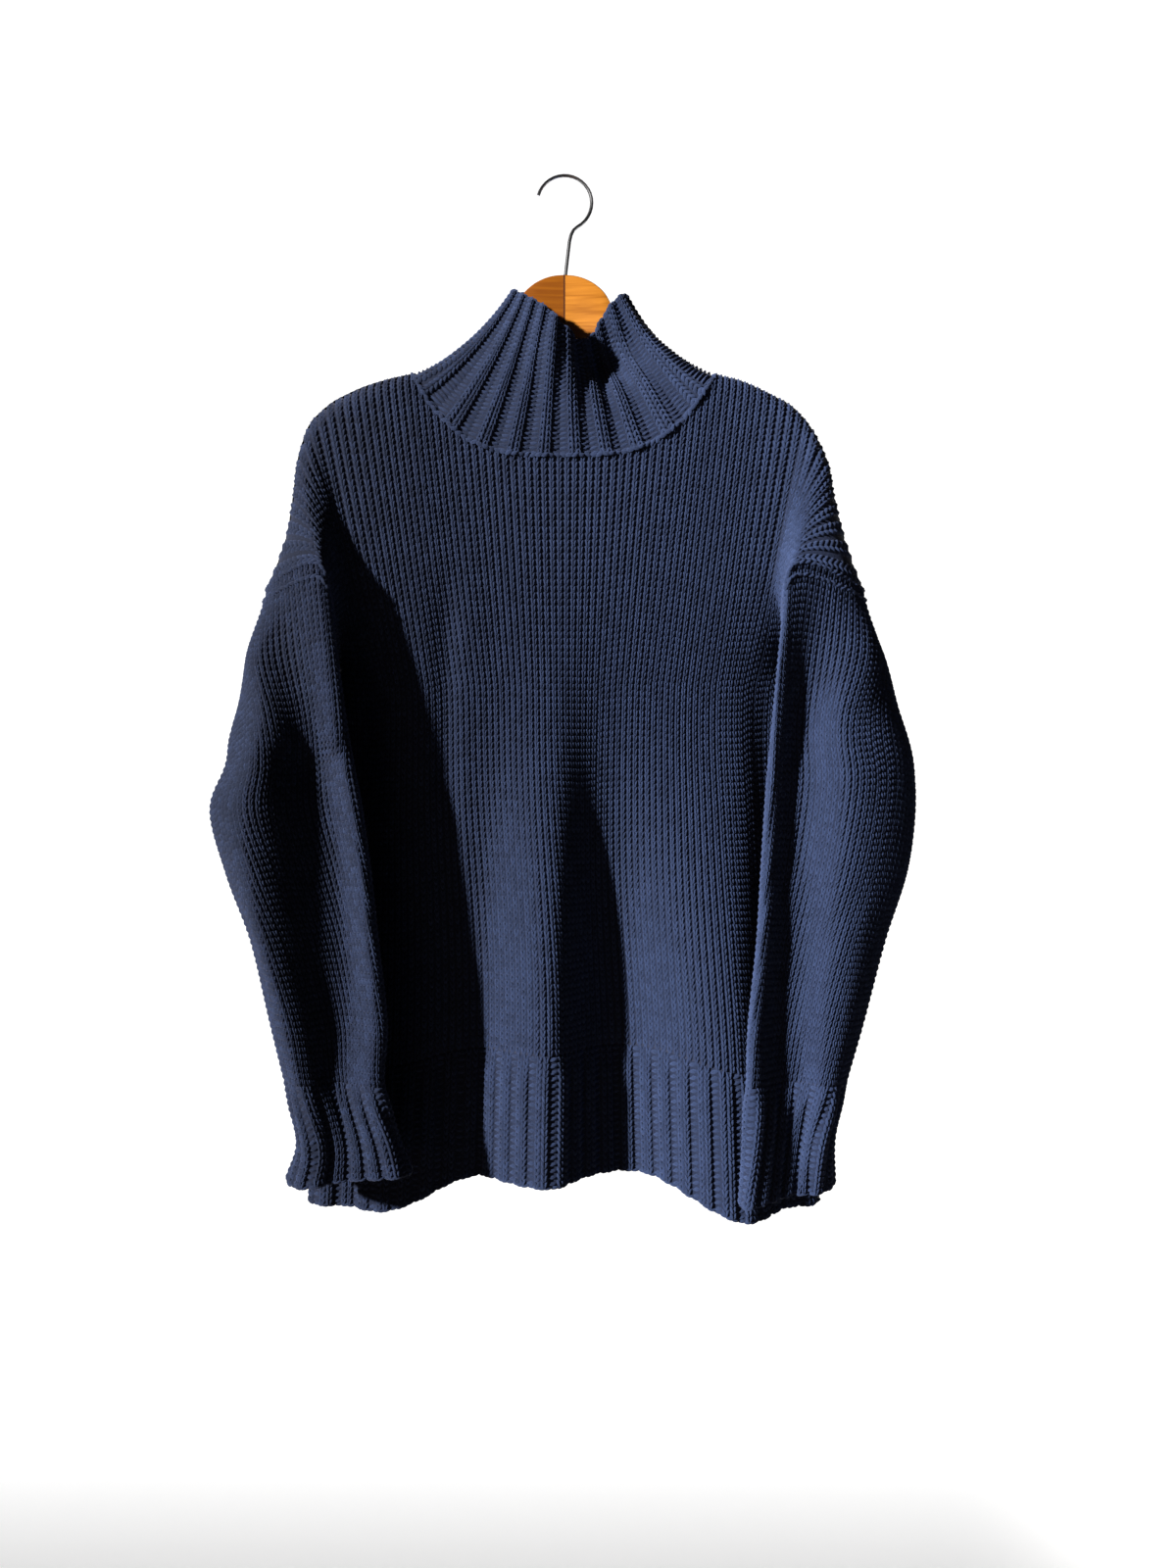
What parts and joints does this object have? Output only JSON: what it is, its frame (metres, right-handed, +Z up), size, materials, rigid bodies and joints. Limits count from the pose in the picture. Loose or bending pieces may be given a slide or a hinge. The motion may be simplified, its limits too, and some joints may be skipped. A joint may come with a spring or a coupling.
{
  "type": "turtleneck sweater on a wooden hanger",
  "caption": "Chunky knitted turtleneck sweater with dropped shoulders, long sleeves and ribbed hem, cuffs and collar, hanging on a curved wooden hanger with a wire hook.",
  "frame": {"origin": "the inner top of the wire hook, where it rests on a rail", "axes": "+Z up, +X to the right as seen from the front, -Y out of the sweater's front"},
  "size_m": [0.6126, 0.1901, 0.9444],
  "materials": {
    "yarn": "matte chunky stocking stitch",
    "rib": "matte ribbed knit",
    "beech": "satin varnish",
    "wire": "polished"
  },
  "bodies": {
    "root": {"front": "yarn", "back": "yarn", "hem_front": "rib", "hem_back": "rib", "collar": "rib", "sleeve_left": "yarn", "sleeve_right": "yarn", "cuff_left": "rib", "cuff_right": "rib", "hanger_left": "beech", "hanger_right": "beech", "hook": "wire"}
  },
  "joints": []
}
